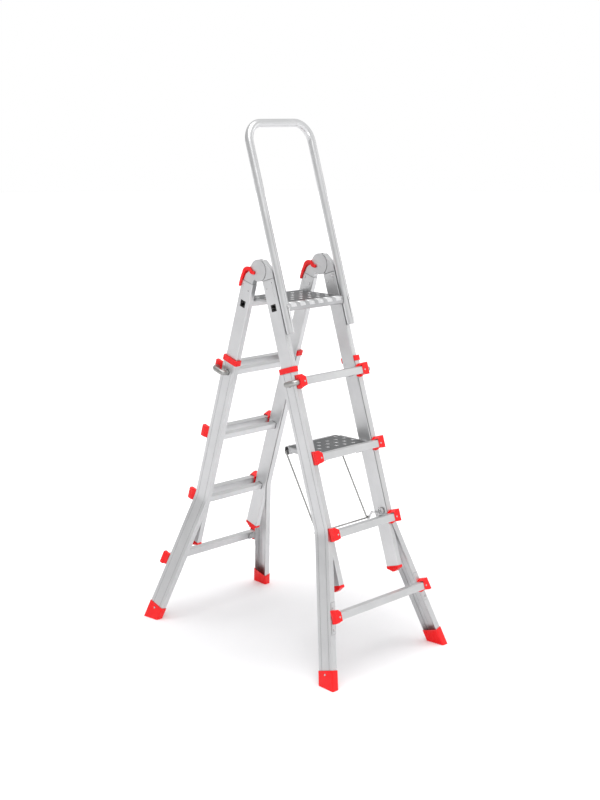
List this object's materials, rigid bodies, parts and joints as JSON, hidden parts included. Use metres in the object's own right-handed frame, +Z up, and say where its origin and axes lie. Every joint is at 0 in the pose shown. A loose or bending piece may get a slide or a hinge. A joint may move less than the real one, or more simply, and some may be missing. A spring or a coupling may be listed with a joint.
{
  "type": "multi position ladder",
  "caption": "Free-standing telescopic ladder folded as an A frame, with flared legs, locking top hinge, guard rail hoop, top platform and a stayed lower shelf.",
  "frame": {"origin": "on the floor midway between the four feet, directly below the hinge axis", "axes": "+Z up, -Y towards the side with the guard rail and the shelf, +X to the right seen from that side"},
  "size_m": [0.6348, 1.0526, 1.9574],
  "materials": {
    "aluminium": "satin extruded aluminium",
    "tread": "dark dimpled aluminium sheet",
    "red": "bright red moulded plastic",
    "steel": "zinc plated steel",
    "black": "matt black plastic"
  },
  "bodies": {
    "front_inner": {"front_inner_rail_left": "aluminium", "front_inner_rail_right": "aluminium", "front_inner_rung_1": "aluminium", "front_inner_rung_2": "aluminium", "front_inner_rung_3": "aluminium", "front_inner_rung_4": "aluminium", "front_rung_sockets": "black", "front_inner_end_caps": "red", "front_hinge_arms": "aluminium", "front_hinge_rivets": "steel", "guard_rail": "aluminium", "guard_rail_screws": "steel"},
    "hinge_core": {"hinge_pins": "steel"},
    "back_inner": {"back_inner_rail_left": "aluminium", "back_inner_rail_right": "aluminium", "back_inner_rung_1": "aluminium", "back_inner_rung_2": "aluminium", "back_inner_rung_3": "aluminium", "back_inner_rung_4": "aluminium", "back_rung_sockets": "black", "back_inner_end_caps": "red", "back_hinge_arms": "aluminium", "back_hinge_rivets": "steel"},
    "front_outer": {"front_outer_rail_left": "aluminium", "front_outer_rail_right": "aluminium", "front_outer_rung_2": "aluminium", "front_outer_rung_3": "aluminium", "front_outer_rung_4": "aluminium", "front_outer_rung_5": "aluminium", "front_collars": "red", "front_rung_caps": "red", "front_outer_rivets": "steel", "front_gussets": "aluminium", "front_foot_left": "red", "front_foot_right": "red"},
    "back_outer": {"back_outer_rail_left": "aluminium", "back_outer_rail_right": "aluminium", "back_outer_rung_2": "aluminium", "back_outer_rung_3": "aluminium", "back_outer_rung_4": "aluminium", "back_outer_rung_5": "aluminium", "back_collars": "red", "back_rung_caps": "red", "back_outer_rivets": "steel", "back_gussets": "aluminium", "back_foot_left": "red", "back_foot_right": "red"},
    "lock_front_left": {"lock_front_left": "steel"},
    "lock_front_right": {"lock_front_right": "steel"},
    "lock_back_left": {"lock_back_left": "steel"},
    "lock_back_right": {"lock_back_right": "steel"},
    "lever_left": {"hinge_lever_left": "red"},
    "lever_right": {"hinge_lever_right": "red"},
    "top_tread": {"top_platform": "tread"},
    "tread_clips": {"platform_hooks": "black"},
    "shelf": {"rear_shelf": "tread"},
    "stays": {"shelf_stays": "steel", "stay_hooks": "aluminium"}
  },
  "joints": [
    {"name": "frame_fold", "type": "hinge", "parent": "front_inner", "child": "hinge_core", "pos_m": [0, 0, 1.4205], "axis": [1, 0, 0], "range_deg": [-34.8, 0]},
    {"name": "frame_open", "type": "hinge", "parent": "hinge_core", "child": "back_inner", "pos_m": [0, 0, 1.4205], "axis": [1, 0, 0], "range_deg": [0, 110]},
    {"name": "clip_turn", "type": "hinge", "parent": "front_inner", "child": "tread_clips", "pos_m": [0, -0.08213, 1.29219], "axis": [1, 0, 0], "range_deg": [0, 72.6]},
    {"name": "tread_tilt", "type": "hinge", "parent": "tread_clips", "child": "top_tread", "pos_m": [0, -0.08213, 1.29219], "axis": [1, 0, 0], "range_deg": [0, 72.6]},
    {"name": "shelf_tilt", "type": "hinge", "parent": "front_inner", "child": "shelf", "pos_m": [0, -0.24959, 0.75781], "axis": [1, 0, 0], "range_deg": [0, 72.6]},
    {"name": "stays_fold", "type": "hinge", "parent": "shelf", "child": "stays", "pos_m": [0, -0.1075, 0.75981], "axis": [1, 0, 0], "range_deg": [-50.2, 0]},
    {"name": "front_extend", "type": "slide", "parent": "front_inner", "child": "front_outer", "axis": [0, -0.299, -0.9542], "range_m": [0, 0.56]},
    {"name": "back_extend", "type": "slide", "parent": "back_inner", "child": "back_outer", "axis": [0, 0.299, -0.9542], "range_m": [0, 0.56]},
    {"name": "lock_front_left_pull", "type": "slide", "parent": "front_outer", "child": "lock_front_left", "axis": [-1, 0, 0], "range_m": [0, 0.035], "stiffness_N_per_m": 400},
    {"name": "lock_front_right_pull", "type": "slide", "parent": "front_outer", "child": "lock_front_right", "axis": [1, 0, 0], "range_m": [0, 0.035], "stiffness_N_per_m": 400},
    {"name": "lock_back_left_pull", "type": "slide", "parent": "back_outer", "child": "lock_back_left", "axis": [-1, 0, 0], "range_m": [0, 0.035], "stiffness_N_per_m": 400},
    {"name": "lock_back_right_pull", "type": "slide", "parent": "back_outer", "child": "lock_back_right", "axis": [1, 0, 0], "range_m": [0, 0.035], "stiffness_N_per_m": 400},
    {"name": "lever_left_pull", "type": "hinge", "parent": "back_inner", "child": "lever_left", "pos_m": [0, 0.02071, 1.41127], "axis": [1, 0, 0], "range_deg": [0, 20], "stiffness_Nm_per_rad": 2},
    {"name": "lever_right_pull", "type": "hinge", "parent": "back_inner", "child": "lever_right", "pos_m": [0, 0.02071, 1.41127], "axis": [1, 0, 0], "range_deg": [0, 20], "stiffness_Nm_per_rad": 2}
  ],
  "couplings": [
    {"joint": "clip_turn", "follows": "frame_open", "ratio": 0.66},
    {"joint": "tread_tilt", "follows": "frame_fold", "ratio": -2.086},
    {"joint": "shelf_tilt", "follows": "frame_fold", "ratio": -2.086},
    {"joint": "stays_fold", "follows": "frame_fold", "ratio": 1.4425}
  ]
}
